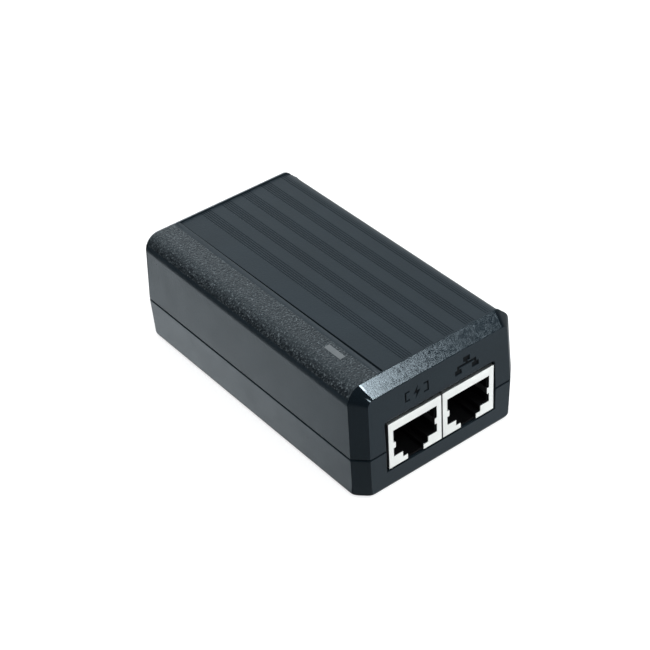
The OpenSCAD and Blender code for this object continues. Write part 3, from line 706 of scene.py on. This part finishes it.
def base_cap(sheet, rim):
    """Underside with the four screw holes and the shallow bed of the label."""
    label_high = mm_box("rating_label")[1]
    hx, hy = label_high.x + label_gap, label_high.y + label_gap
    edge = ((edge_r, 0.0), (edge_mid, edge_mid), (0.0, edge_r))

    def ring(path, depth):
        return [sheet.point((x, y, depth), (x, y, floor_t)) for x, y in path]

    holes = []
    for cx, cy in screw_places():
        rings = []
        for rise, depth in edge:
            r = screw_hole_r + rise
            turns = [2 * math.pi * k / 32 for k in range(32)]
            rings.append(ring([(cx + r * math.cos(t), cy + r * math.sin(t)) for t in turns], depth))
        holes.append(rings)
    bed = [ring(rounded_rectangle(hx + rise, hy + rise, label_r + rise), depth * label_edge)
           for rise, depth in edge]
    bed.append(ring(rounded_rectangle(hx, hy, label_r), label_sink))
    holes.append(bed)
    for rings in holes:
        for a, b in zip(rings, rings[1:]):
            sheet.strip(a, b)
    sheet.faces.append(tuple(reversed(bed[-1])))
    sheet.cap([list(rim)] + [rings[0] for rings in holes], from_above, Vector((0, 0, -1)))


def tongue():
    """Locating rib inside the seam, on the upper shell, open at the sockets and the inlet."""
    sheet = Sheet()
    rows = []
    for z in (seam_z + 2.4, seam_z + 0.2, seam_z - 1.6):
        outer, inner = lower_outline(z, wall + 0.1), lower_outline(z, wall + 1.0)
        rows.append([sheet.point((p[0], p[1], z), (q[0], q[1], z)) for p, q in zip(outer, inner)])

    def is_open(middle, _):
        in_window = middle.y < -30 and abs(middle.x) < window_half_w
        in_inlet = middle.y > 30 and abs(middle.x) < inlet_half_w
        return in_window or in_inlet

    outline_faces(sheet, rows, is_open)
    return sheet


# ---------------------------------------------------------------- posts inside the shells
def screw_places():
    low, high = mm_box("case_screws")
    return [(x, y) for x in (low.x + screw_head_r, high.x - screw_head_r)
            for y in (low.y + screw_head_r, high.y - screw_head_r)]


def upper_post(place):
    """Screw boss under the top, with a blind pilot hole."""
    pilot_r, pilot_top, r = 1.32, 16.0, 2.6
    top = case_h - wall + 0.3
    return lathe(place, [(pilot_r, post_z), (1.6, 8.95), (2.5, 8.95), (r, 9.1), (r, top), (axis_r, top),
                         (axis_r, pilot_top), (pilot_r, pilot_top)])


def lower_post(place):
    """Sleeve around a screw's head and shank, up from the base."""
    bottom, head_r, head_top, shank_r, r = 1.2, 2.79, 3.0, 1.5, 3.2
    return lathe(place, [(r, bottom), (r, 8.9), (3.1, post_z), (1.7, post_z), (shank_r, post_z),
                         (shank_r, head_top), (head_r, head_top), (head_r, bottom)])


def board_stand(place):
    """Stud that carries the board."""
    board_z = mm_box("main_board")[0].z
    bottom, shoulder, r = 1.8, 2.3, 2.0
    return lathe(place, [(axis_r, bottom), (2.3, bottom), (r, shoulder), (r, board_z), (axis_r, board_z)])


# ---------------------------------------------------------------- shading of the meshes
def favour_flats(mesh, least_mm2):
    """Gives broad flat areas the say over the shading where they meet small rounded ones."""
    strong = 16384
    bm = bmesh.new()
    bm.from_mesh(mesh)
    bm.normal_update()
    weight = bm.faces.layers.int.new("__mod_weightednormals_faceweight")
    seen = set()
    for first in bm.faces:
        if first in seen:
            continue
        seen.add(first)
        group = [first]
        for face in group:
            for edge in face.edges:
                for other in edge.link_faces:
                    if other not in seen and other.normal.dot(first.normal) > 0.99999:
                        seen.add(other)
                        group.append(other)
        flat = sum(face.calc_area() for face in group) > least_mm2 * MM * MM
        for face in group:
            face[weight] = strong if flat else 0
    bm.to_mesh(mesh)
    bm.free()


def finish_mesh(obj, angle, least_mm2):
    """Smooth shading with edges sharper than the angle kept, and flats of at least so much area favoured."""
    favour_flats(obj.data, least_mm2)
    obj.data.shade_smooth()
    obj.data.set_sharp_from_angle(angle=math.radians(angle))
    mod = obj.modifiers.new("normals", "WEIGHTED_NORMAL")
    mod.keep_sharp = True
    mod.use_face_influence = True
    mod.mode = "CORNER_ANGLE"


# The finishes of a shell, in the order of shell_finishes
FINE, POLISHED, PEBBLED_PAINTED_GLINTS, MARKED, BROW = range(5)


def moulded_zones(obj):
    """Gives each face of a shell its finish, by where it is and which way it looks."""
    for poly in obj.data.polygons:
        middle = poly.center / MM
        ahead = -poly.normal.y
        recessed = middle.y > front_y(middle.z) + 0.2
        if middle.y < -half_l + 5 and 0.3 < ahead < 0.97:
            poly.material_index = BROW if poly.normal.z > 0.6 and abs(middle.x) < 20 else POLISHED
        # The pebbled top beside the panel, whose finish carries painted glints.
        elif poly.normal.z > 0.42 and middle.x < -15.2 and middle.z > 20:
            poly.material_index = PEBBLED_PAINTED_GLINTS
        # The floors of the sunk marks take a darker finish, which is painted shade in the strokes.
        elif middle.y < -half_l + 1.4 and recessed and ahead > 0.97 and abs(middle.z - mark_z) < mark_reach:
            poly.material_index = MARKED


# ---------------------------------------------------------------- the two shells
upper_parts = [upper_shell().close(), tongue().close()] + [upper_post(place) for place in screw_places()]
upper = make_object("top_shell_skin", *join_parts(upper_parts), "shell_plastic", "top_shell")
lower_parts = [lower_shell().close()] + [lower_post(place) for place in screw_places()]
lower_parts += [board_stand((x, y)) for x in (-18.0, 18.0) for y in (-18.0, 8.0)]
lower = make_object("bottom_shell_skin", *join_parts(lower_parts), "shell_plastic", "bottom_shell")
for shell in (upper, lower):
    finish_mesh(shell, 32, 45)


# ---------------------------------------------------------------- carried-over parts, with softened edges
def refined(node, bevel):
    """A copy of a CAD node with welded, cleaned faces and rounded edges, which stands for the node."""
    mesh = frame["nodes"][node].data.copy()
    bm = bmesh.new()
    bm.from_mesh(mesh)
    bmesh.ops.remove_doubles(bm, verts=bm.verts, dist=1e-6)
    bmesh.ops.dissolve_limit(bm, angle_limit=math.radians(1), verts=bm.verts, edges=bm.edges)
    edges = [e for e in bm.edges if len(e.link_faces) == 2 and e.calc_face_angle(0) > math.radians(30)]
    bmesh.ops.bevel(bm, geom=edges, offset=bevel * MM, segments=2, profile=0.5, affect="EDGES",
                    clamp_overlap=True, offset_type="OFFSET")
    bmesh.ops.remove_doubles(bm, verts=bm.verts, dist=1e-7)
    bm.to_mesh(mesh)
    bm.free()
    mesh.materials.clear()
    obj = bpy.data.objects.new(node + "_detail", mesh)
    bpy.context.scene.collection.objects.link(obj)
    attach(obj, "case")
    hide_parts(node)
    finish_mesh(obj, 40, 0.6)
    return obj


shields = [refined(n, 0.06) for n in ("poe_socket_shield", "lan_socket_shield")]
inserts = [refined(n, 0.08) for n in ("poe_socket_insert", "lan_socket_insert")]
inlet = refined("inlet_housing", 0.3)
pins = [refined(n, 0.25) for n in ("line_pin", "neutral_pin", "earth_pin")]
pipe = refined("light_pipe", 0.08)


# ---------------------------------------------------------------- materials
def material(name, color, rough, specular=0.5, metallic=0.0):
    mat = bpy.data.materials.new(name)
    mat.use_nodes = True
    shader = mat.node_tree.nodes["Principled BSDF"]
    shader.inputs["Base Color"].default_value = (*color, 1)
    shader.inputs["Roughness"].default_value = rough
    shader.inputs["Specular IOR Level"].default_value = specular
    shader.inputs["Metallic"].default_value = metallic
    return mat


def glowing(mat, strength):
    """The same material, giving off white light as well."""
    shader = mat.node_tree.nodes["Principled BSDF"]
    shader.inputs["Emission Color"].default_value = (1, 1, 1, 1)
    shader.inputs["Emission Strength"].default_value = strength
    return mat


class Nodes:
    """Short ways to add shader nodes to one material."""

    def __init__(self, mat):
        self.tree = mat.node_tree
        self.shader = self.tree.nodes["Principled BSDF"]
        self.coords = self.tree.nodes.new("ShaderNodeTexCoord")

    def noise(self, scale, detail=2.0, rough=0.5, stretch=None):
        node = self.tree.nodes.new("ShaderNodeTexNoise")
        node.inputs["Scale"].default_value = scale
        node.inputs["Detail"].default_value = detail
        node.inputs["Roughness"].default_value = rough
        if stretch:
            mapping = self.tree.nodes.new("ShaderNodeMapping")
            mapping.inputs["Scale"].default_value = stretch
            self.link(self.coords.outputs["Object"], mapping.inputs["Vector"])
            self.link(mapping.outputs["Vector"], node.inputs["Vector"])
        else:
            self.link(self.coords.outputs["Object"], node.inputs["Vector"])
        return node.outputs["Fac"]

    def vary_color(self, value, stops):
        """Colours the surface by a value, between (position, colour) stops."""
        node = self.tree.nodes.new("ShaderNodeValToRGB")
        ramp = node.color_ramp
        while len(ramp.elements) < len(stops):
            ramp.elements.new(0.5)
        for element, (position, color) in zip(ramp.elements, stops):
            element.position = position
            element.color = (*color, 1)
        self.link(value, node.inputs["Fac"])
        self.link(node.outputs["Color"], self.shader.inputs["Base Color"])

    def vary_rough(self, value, low, high, rough_low, rough_high):
        """Takes the roughness from rough_low to rough_high as a value goes from low to high."""
        node = self.tree.nodes.new("ShaderNodeMapRange")
        ends = (("From Min", low), ("From Max", high), ("To Min", rough_low), ("To Max", rough_high))
        for socket, number in ends:
            node.inputs[socket].default_value = number
        self.link(value, node.inputs["Value"])
        self.link(node.outputs["Result"], self.shader.inputs["Roughness"])

    def bump(self, height, strength, distance):
        node = self.tree.nodes.new("ShaderNodeBump")
        node.inputs["Strength"].default_value = strength
        node.inputs["Distance"].default_value = distance
        self.link(height, node.inputs["Height"])
        self.link(node.outputs["Normal"], self.shader.inputs["Normal"])

    def link(self, a, b):
        self.tree.links.new(a, b)


def plastic(name, color, rough, grain_mm=0.5, grain=0.3, specular=0.4, vary=0.12, height=0.00004, tint=None):
    """Moulded plastic: fine spark-eroded grain, slight colour and gloss variation."""
    mat = material(name, color, rough, specular)
    nodes = Nodes(mat)
    if tint:
        nodes.shader.inputs["Specular Tint"].default_value = (*tint, 1)
    dark = tuple(c * (1 - vary) for c in color)
    light = tuple(c * (1 + vary) for c in color)
    nodes.vary_color(nodes.noise(60, 3), [(0.3, dark), (0.7, light)])
    nodes.vary_rough(nodes.noise(220, 3), 0.2, 0.8, rough - 0.03, rough + 0.03)
    nodes.bump(nodes.noise(1000 / grain_mm, 2, 0.6), grain, height)
    return mat


def metal(name, color, rough, stretch=(1, 1, 1), scratch=0.15, vary=0.06, metallic=1.0):
    """Sheet metal with a faint rolled grain."""
    mat = material(name, color, rough, metallic=metallic)
    nodes = Nodes(mat)
    dark = tuple(c * (1 - vary) for c in color)
    nodes.vary_color(nodes.noise(120, 3), [(0.35, dark), (0.65, color)])
    streaks = nodes.noise(1500, 3, 0.6, stretch)
    nodes.vary_rough(streaks, 0.3, 0.7, rough - 0.06, rough + 0.08)
    nodes.bump(streaks, scratch, 0.00001)
    return mat


shell_black = (0.008, 0.0125, 0.0165)
polished_black = (0.0035, 0.0058, 0.0078)
shell_sheen = (0.84, 0.95, 1.0)


def brow_plastic():
    """Satin bevel whose gloss changes in small patches."""
    mat = plastic("shell_brow", shell_black, 0.16, 0.5, 0.5, 0.5, height=0.000012, tint=shell_sheen)
    nodes = Nodes(mat)
    nodes.vary_rough(nodes.noise(1100, 4, 0.65), 0.35, 0.65, 0.1, 0.19)
    return mat


def pebbled_plastic_painted_glints():
    """Deep leathery grain, with pale specks painted into its colour: painted glints of light off the grain.
    """
    mat = plastic("shell_pebble_painted_glints", shell_black, 0.3, 0.5, 1.0, 0.5, height=0.00022, tint=shell_sheen)
    nodes = Nodes(mat)
    # Painted glints: the pale specks stand in for light catching the grain, not for a colour of the plastic.
    stops = [(0.46, (0.004, 0.006, 0.008)), (0.62, (0.03, 0.037, 0.041)), (0.70, (0.11, 0.127, 0.135))]
    nodes.vary_color(nodes.noise(2300, 2, 0.7), stops)
    return mat


def pipe_plastic():
    """Cloudy light guide, unlit."""
    mat = material("pipe_clear", (0.5, 0.53, 0.55), 0.3, 0.5)
    nodes = Nodes(mat)
    nodes.vary_color(nodes.noise(300, 2), [(0.3, (0.085, 0.095, 0.1)), (0.7, (0.11, 0.12, 0.125))])
    nodes.bump(nodes.noise(900, 2), 0.1, 0.00002)
    return mat


def paint(obj, *mats):
    obj.data.materials.clear()
    for mat in mats:
        obj.data.materials.append(mat)
    for slot in obj.material_slots:
        slot.link = "DATA"


shell_finishes = [plastic("shell_grain", shell_black, 0.3, 0.4, 0.5, 0.5, height=0.00006, tint=shell_sheen),
                  plastic("shell_polished", polished_black, 0.06, 2.2, 0.3, 0.5, tint=shell_sheen),
                  pebbled_plastic_painted_glints(),
                  # Floors of the sunk marks: darker than the face as painted shade in the strokes, and also
                  # rougher and less glossy.
                  plastic("mark_floor_painted_shade", (0.003, 0.004, 0.005), 0.6, 0.4, 0.4, 0.15),
                  brow_plastic()]
# A darker copy of the shields' tin plate for every face but the fronts: painted shade inside the sockets.
shield_painted_shade = metal("tin_plate_painted_shade", (0.5, 0.5, 0.49), 0.4, (1, 1, 0.1))
by_slot = {"shell_plastic": shell_finishes[FINE],
           "clear_plastic": pipe_plastic(),
           "screw_steel": metal("zinc_steel", (0.55, 0.56, 0.58), 0.35),
           "label_film": plastic("label_film", (0.5, 0.51, 0.52), 0.45, 0.6, 0.1, vary=0.03),
           "board_laminate": plastic("board_green", (0.03, 0.14, 0.06), 0.35, 0.6, 0.1),
           "shield_metal": metal("tin_plate", (0.82, 0.83, 0.80), 0.45, (1, 1, 0.1), metallic=0.3),
           # The inserts are black plastic, made darker still than the other black parts: painted shade inside
           # the sockets.
           "socket_plastic": plastic("socket_black_painted_shade", (0.0015, 0.0015, 0.0016), 0.6, 0.8, 0.15, 0.08),
           "contact_metal": metal("contact_gold", (0.78, 0.6, 0.3), 0.25, (1, 0.2, 1)),
           "inlet_plastic": plastic("inlet_black", (0.016, 0.017, 0.018), 0.5, 0.6, 0.25),
           "pin_metal": metal("pin_nickel", (0.7, 0.68, 0.62), 0.28, (1, 0.1, 1)),
           "pale_plastic": plastic("cream_plastic", (0.6, 0.55, 0.42), 0.45, 0.8, 0.15),
           "blue_epoxy": plastic("blue_lacquer", (0.05, 0.15, 0.4), 0.25, 1.2, 0.1),
           "yellow_plastic": plastic("yellow_tape", (0.72, 0.46, 0.05), 0.4, 0.8, 0.15),
           "ferrite": plastic("ferrite_dark", (0.045, 0.045, 0.05), 0.65, 0.5, 0.5),
           "copper_wire": metal("winding_copper", (0.72, 0.33, 0.14), 0.35, (1, 1, 6), 0.5),
           "chip_epoxy": plastic("chip_epoxy", (0.016, 0.016, 0.018), 0.6, 0.3, 0.3),
           "capacitor_can": plastic("can_sleeve", (0.02, 0.035, 0.06), 0.3, 1.0, 0.1),
           "bare_aluminium": metal("rolled_aluminium", (0.75, 0.76, 0.77), 0.35, (1, 0.1, 1))}
slot_of = {part["node"]: part["material_slot"] for part in frame["record"]["subparts"]}
for node_name, node_obj in frame["nodes"].items():
    paint(node_obj, by_slot[slot_of[node_name]])
for shell in (upper, lower):
    paint(shell, *shell_finishes)
    moulded_zones(shell)
for shield in shields:
    paint(shield, by_slot["shield_metal"], shield_painted_shade)
    # Only the front faces keep the pale tin plate. The rest take the darker copy, which is painted shade.
    for poly in shield.data.polygons:
        on_front = poly.normal.y < -0.5 and poly.center.y / MM < shield_low.y + 0.2
        poly.material_index = 0 if on_front else 1
for insert in inserts:
    paint(insert, by_slot["socket_plastic"])
for pin in pins:
    paint(pin, by_slot["pin_metal"])
paint(inlet, by_slot["inlet_plastic"])
paint(pipe, by_slot["clear_plastic"])


# ---------------------------------------------------------------- floor, light and camera
def stage_object(name, mesh, mat):
    obj = bpy.data.objects.new(name, mesh)
    bpy.context.scene.collection.objects.link(obj)
    paint(obj, mat)
    return obj


def floor_plane(half=1.2):
    """Plain pale floor of this half width in metres, which isn't seen in the gloss."""
    mesh = bpy.data.meshes.new("floor")
    corners = [(-half, -half, 0), (half, -half, 0), (half, half, 0), (-half, half, 0)]
    mesh.from_pydata(corners, [], [(0, 1, 2, 3)])
    floor = stage_object("floor", mesh, glowing(material("floor_pale", (0.4, 0.4, 0.4), 0.9, 0.0), 0.66))
    floor.visible_glossy = False


def backdrop_dome():
    """A plain pale backdrop all round, which only the camera sees."""
    mesh = bpy.data.meshes.new("backdrop")
    bm = bmesh.new()
    bmesh.ops.create_icosphere(bm, subdivisions=4, radius=5.0)
    bm.to_mesh(mesh)
    bm.free()
    dome = stage_object("backdrop", mesh, glowing(material("backdrop_pale", (0, 0, 0), 1.0, 0.0), 1.0))
    dome.visible_diffuse = dome.visible_glossy = dome.visible_shadow = dome.visible_transmission = False


def area_light(name, direction, size, power, distance=1.3):
    """Large soft lamp aimed at the middle of the case, which isn't seen in the gloss."""
    light = bpy.data.lights.new(name, "AREA")
    light.shape = "RECTANGLE"
    light.size = light.size_y = size
    light.energy = power
    lamp = bpy.data.objects.new(name, light)
    away = Vector(direction).normalized()
    lamp.location = Vector((0, 0, 0.016)) + away * distance
    lamp.rotation_euler = away.to_track_quat("Z", "Y").to_euler()
    lamp.visible_glossy = False
    bpy.context.scene.collection.objects.link(lamp)


# Studio glow seen in the gloss: direction, cosines where it starts and is full, brightness
glows = [((-0.328, 0.713, -0.619), 0.966, 0.9986, 1.8),
         ((-0.167, 0.647, 0.744), 0.841, 0.981, 0.46),
         ((0.449, -0.702, -0.553), 0.503, 0.951, 0.29),
         ((0.456, 0.614, 0.644), 0.402, 0.931, 0.56),
         ((0.922, 0.104, -0.374), 0.389, 0.979, 0.29),
         ((-0.649, -0.335, -0.683), 0.771, 0.988, 0.22),
         ((0.40, 0.91, 0.06), 0.93, 0.985, 1.3),
         ((0.370, -0.435, 0.821), 0.994, 0.9955, 35.0),
         ((-0.12, -0.81, 0.575), 0.986, 0.990, 12.0)]
glow_tint = (0.89, 0.955, 1.0)
base_glow = 0.03


def studio_world():
    """Sum of the glows over a dim base."""
    world = bpy.data.worlds.new("studio")
    world.use_nodes = True
    tree = world.node_tree
    coords = tree.nodes.new("ShaderNodeTexCoord")
    total = None
    for direction, start, full, strength in glows:
        dot = tree.nodes.new("ShaderNodeVectorMath")
        dot.operation = "DOT_PRODUCT"
        dot.inputs[1].default_value = Vector(direction).normalized()
        tree.links.new(coords.outputs["Generated"], dot.inputs[0])
        step = tree.nodes.new("ShaderNodeMapRange")
        step.interpolation_type = "SMOOTHSTEP"
        for socket, value in (("From Min", start), ("From Max", full), ("To Min", 0.0), ("To Max", strength)):
            step.inputs[socket].default_value = value
        tree.links.new(dot.outputs["Value"], step.inputs["Value"])
        add = tree.nodes.new("ShaderNodeMath")
        add.inputs[1].default_value = base_glow
        tree.links.new(step.outputs["Result"], add.inputs[0])
        if total is not None:
            tree.links.new(total, add.inputs[1])
        total = add.outputs["Value"]
    tree.nodes["Background"].inputs["Color"].default_value = (*glow_tint, 1)
    tree.links.new(total, tree.nodes["Background"].inputs["Strength"])
    bpy.context.scene.world = world


floor_plane()
backdrop_dome()
studio_world()
area_light("key", (0.35, -0.6, 0.75), 2.4, 22)
area_light("fill", (-0.5, 0.5, 0.8), 2.8, 28)

# Camera: angles in radians, distance and shift (across, up) in millimetres, focal length in frame widths
view_azimuth = -0.629
view_height = 0.658
view_roll = -0.065
view_distance = 433.76
view_shift = (-1.004, 11.806)
focal_widths = 2.611585
sensor_mm = 36


def photo_camera():
    """Camera that sees the case from the front left and above."""
    back = Vector((math.sin(view_azimuth) * math.cos(view_height),
                   -math.cos(view_azimuth) * math.cos(view_height), math.sin(view_height)))
    level_right = (-back).cross(Vector((0, 0, 1))).normalized()
    level_up = level_right.cross(-back)
    right = level_right * math.cos(view_roll) + level_up * math.sin(view_roll)
    up = level_up * math.cos(view_roll) - level_right * math.sin(view_roll)
    lens = bpy.data.cameras.new("camera")
    lens.sensor_width = sensor_mm
    lens.lens = sensor_mm * focal_widths
    lens.clip_start = 0.01
    camera = bpy.data.objects.new("camera", lens)
    place = (right * view_shift[0] + up * view_shift[1] + back * view_distance) * MM
    camera.matrix_world = Matrix.Translation(place) @ Matrix((right, up, back)).transposed().to_4x4()
    bpy.context.scene.collection.objects.link(camera)
    bpy.context.scene.camera = camera


photo_camera()
bpy.context.scene.view_settings.view_transform = "Standard"
